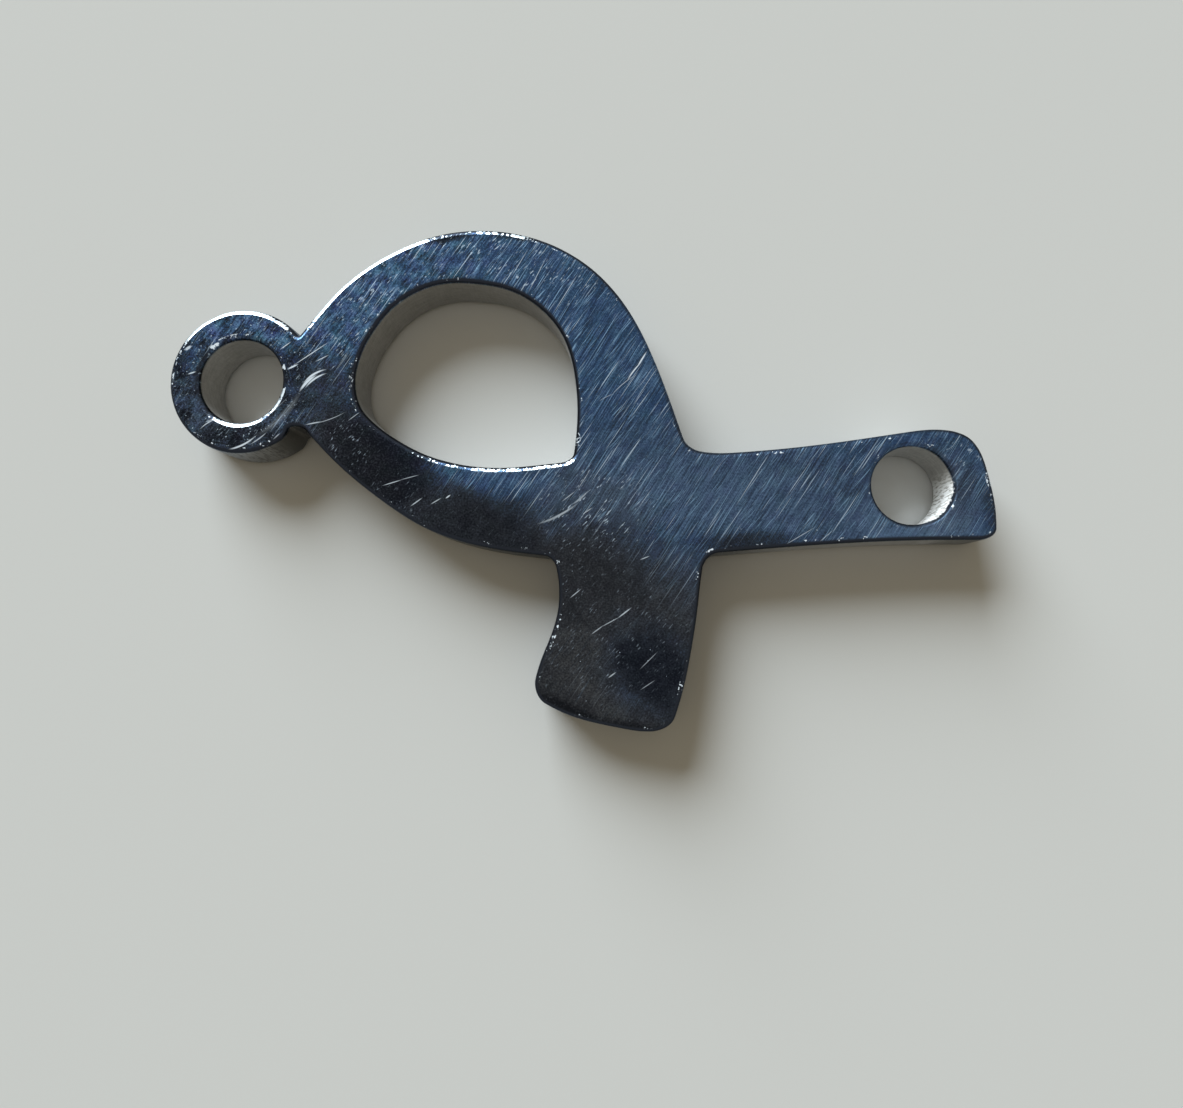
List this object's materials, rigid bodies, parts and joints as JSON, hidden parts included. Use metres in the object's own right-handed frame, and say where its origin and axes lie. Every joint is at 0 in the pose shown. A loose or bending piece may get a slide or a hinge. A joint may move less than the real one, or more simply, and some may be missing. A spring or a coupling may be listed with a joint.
{
  "type": "awareness ribbon connector charm",
  "caption": "Flat steel awareness ribbon connector charm: a teardrop loop with crossed tails, a round eye on the nose of the loop and a hole through the end of the long tail.",
  "frame": {"origin": "middle of the plate's box, on its back face", "axes": "+X from the eye's hole to the long tail's hole; +Y in the plate's plane, towards the crown of the loop; +Z out of the front face"},
  "size_m": [0.021, 0.0118, 0.0015],
  "materials": {
    "steel": "cut from sheet and tumbled: glossy dark faces with fine brushing and scratches, satin cut edges"
  },
  "bodies": {
    "root": {"ribbon_plate": "steel"}
  },
  "joints": []
}
